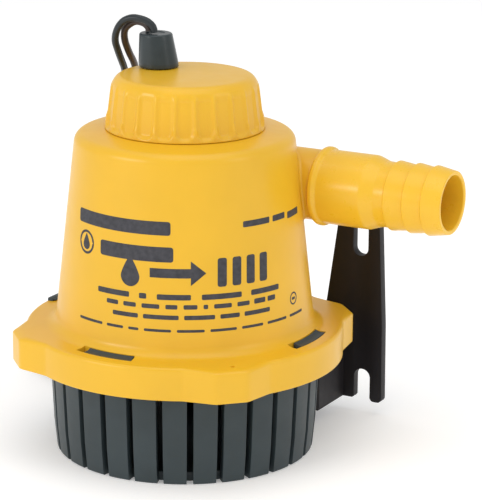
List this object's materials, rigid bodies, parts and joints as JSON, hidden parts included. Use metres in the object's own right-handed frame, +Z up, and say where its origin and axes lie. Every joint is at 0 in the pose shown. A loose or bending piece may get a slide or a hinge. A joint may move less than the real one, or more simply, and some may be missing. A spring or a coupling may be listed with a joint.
{
  "type": "bilge pump",
  "caption": "Small cartridge bilge pump: tapered yellow housing on a slotted strainer, side hose barb, fluted cap with cable gland and leads, and an upright slotted screw bracket.",
  "frame": {"origin": "on the pump axis, at the underside of the strainer floor", "axes": "+Z up the pump axis, +X out of the hose barb, +Y towards the bulkhead that the bracket is screwed to"},
  "size_m": [0.1593, 0.1151, 0.1319],
  "materials": {
    "yellow_plastic": "satin moulded ABS, saturated warm yellow",
    "barb_plastic": "smooth satin moulded ABS, slightly deeper yellow",
    "slate_plastic": "satin moulded plastic, dark slate green",
    "black_plastic": "satin black moulded nylon",
    "gland_rubber": "soft satin rubber",
    "seal_rubber": "nitrile rubber",
    "black_insulation": "satin wire insulation",
    "brown_insulation": "satin wire insulation",
    "white_plastic": "natural moulded plastic",
    "steel": "stainless",
    "zinc": "zinc plated steel",
    "ferrite": "dull ceramic ferrite",
    "carbon": "pressed carbon",
    "bronze": "sintered bronze",
    "copper": "enamelled copper"
  },
  "bodies": {
    "base": {"strainer_basket": "slate_plastic", "mounting_bracket": "black_plastic", "bracket_screw_left": "zinc", "bracket_screw_right": "zinc", "latch_pin": "steel"},
    "latch": {"release_latch": "slate_plastic"},
    "housing": {"pump_housing": "yellow_plastic", "intake_plate": "slate_plastic", "plate_screw_1": "steel", "plate_screw_2": "steel", "plate_screw_3": "steel", "discharge_barb": "barb_plastic", "barb_o_ring": "seal_rubber", "lead_black": "black_insulation", "lead_brown": "brown_insulation", "lead_coil": "black_insulation", "coil_tie": "black_plastic"},
    "cartridge": {"cartridge_cap": "yellow_plastic", "cable_gland": "gland_rubber", "cartridge_o_ring": "seal_rubber", "motor_casing": "white_plastic", "motor_can": "zinc", "magnet_right": "ferrite", "magnet_left": "ferrite", "lower_bushing": "bronze", "upper_bushing": "bronze", "shaft_seal": "seal_rubber", "seal_retainer": "steel", "brush_card": "black_plastic", "brush_rear": "carbon", "brush_front": "carbon", "brush_spring_rear": "steel", "brush_spring_front": "steel", "terminal_black": "bronze", "terminal_brown": "bronze", "inner_wire_black": "black_insulation", "inner_wire_brown": "brown_insulation"},
    "rotor": {"motor_shaft": "steel", "armature_core": "zinc", "windings": "copper", "commutator": "copper", "impeller": "white_plastic", "impeller_nut": "bronze"}
  },
  "joints": [
    {"name": "latch_flex", "type": "hinge", "parent": "base", "child": "latch", "pos_m": [-0.046, 0, 0.0205], "axis": [0, -1, 0], "range_deg": [0, 8], "stiffness_Nm_per_rad": 0.6},
    {"name": "housing_twist", "type": "hinge", "parent": "base", "child": "housing", "pos_m": [0, 0, 0.029], "axis": [0, 0, 1], "range_deg": [0, 3.4]},
    {"name": "cartridge_lift", "type": "slide", "parent": "housing", "child": "cartridge", "axis": [0, 0, 1], "range_m": [0, 0.08], "deforming": ["lead_black", "lead_brown"]},
    {"name": "rotor_spin", "type": "hinge", "parent": "cartridge", "child": "rotor", "pos_m": [0, 0, 0.06], "axis": [0, 0, 1], "continuous": true}
  ]
}
